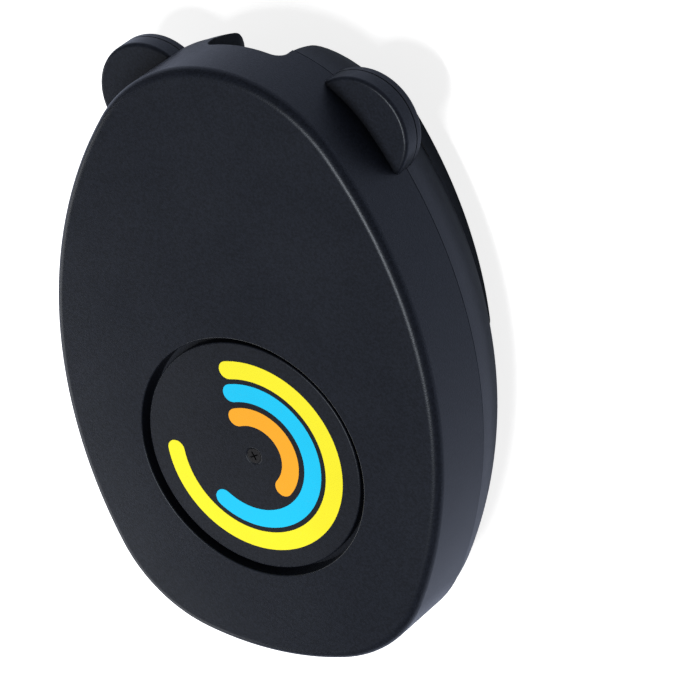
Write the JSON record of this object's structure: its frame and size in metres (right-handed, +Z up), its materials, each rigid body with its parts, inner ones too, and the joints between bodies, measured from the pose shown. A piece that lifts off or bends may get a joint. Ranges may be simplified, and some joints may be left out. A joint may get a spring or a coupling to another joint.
{
  "type": "mouse jiggler",
  "caption": "Egg-shaped two-shell case with ears, rubber feet and a plug bay, whose motor slowly turns a printed disc under an optical mouse.",
  "frame": {"origin": "centre of the bounding box in plan, at the underside of the rubber feet", "axes": "+Z up along the turntable axis, +Y towards the ears and the plug bay, +X to the right seen from above with the ears away from the viewer"},
  "size_m": [0.0888, 0.1278, 0.0325],
  "materials": {
    "case_plastic": "fine-textured moulded plastic, near black with a cool cast",
    "disc_plastic": "fine-textured moulded plastic, near black",
    "yellow_ink": "printed ink, satin",
    "blue_ink": "printed ink, satin",
    "orange_ink": "printed ink, satin",
    "steel": "bright zinc-plated steel",
    "dark_steel": "blackened steel",
    "plate_metal": "galvanised sheet steel",
    "gear_plastic": "natural acetal",
    "bronze": "oil-filled sintered bronze",
    "brass": "machined brass",
    "copper": "enamelled copper winding",
    "magnet": "ferrite",
    "board": "solder mask over glass-fibre board",
    "black_plastic": "moulded epoxy and liquid-crystal polymer",
    "white_plastic": "natural nylon",
    "sleeve": "shrink sleeve",
    "ceramic": "ceramic chips with tinned ends",
    "wire": "soft insulation",
    "rubber": "soft moulded rubber"
  },
  "bodies": {
    "housing": {"top_shell": "case_plastic", "bottom_shell": "case_plastic", "spindle_bush": "bronze", "thrust_washer": "gear_plastic", "chassis_plate": "plate_metal", "idler_pin": "steel", "idler_clip": "steel", "motor_can": "plate_metal", "motor_flange": "plate_metal", "motor_coils": "copper", "motor_screws": "steel", "chassis_screws": "steel", "main_board": "board", "board_screws": "steel", "usb_shell": "steel", "usb_tongue": "black_plastic", "controller_chip": "black_plastic", "capacitor": "sleeve", "board_parts": "ceramic", "lead_connector": "white_plastic", "motor_lead": "wire", "case_screws": "steel", "side_feet": "rubber", "front_feet": "rubber"},
    "turntable": {"turntable_disc": "disc_plastic", "print_outer": "yellow_ink", "print_middle": "blue_ink", "print_inner": "orange_ink", "disc_screw": "dark_steel", "table_gear": "gear_plastic", "spindle": "steel", "spindle_clip": "steel"},
    "idler": {"idler_gear": "gear_plastic"},
    "rotor": {"motor_pinion": "brass", "motor_shaft": "steel", "rotor_magnet": "magnet"}
  },
  "joints": [
    {"name": "turntable_spin", "type": "hinge", "parent": "housing", "child": "turntable", "pos_m": [0, -0.0193, 0.03], "axis": [0, 0, 1], "continuous": true},
    {"name": "idler_spin", "type": "hinge", "parent": "housing", "child": "idler", "pos_m": [0, 0.0005, 0.021], "axis": [0, 0, 1], "continuous": true},
    {"name": "motor_spin", "type": "hinge", "parent": "housing", "child": "rotor", "pos_m": [0, 0.0161, 0.012], "axis": [0, 0, 1], "continuous": true}
  ],
  "couplings": [
    {"joint": "idler_spin", "follows": "turntable_spin", "ratio": -4.5},
    {"joint": "motor_spin", "follows": "turntable_spin", "ratio": 15}
  ]
}
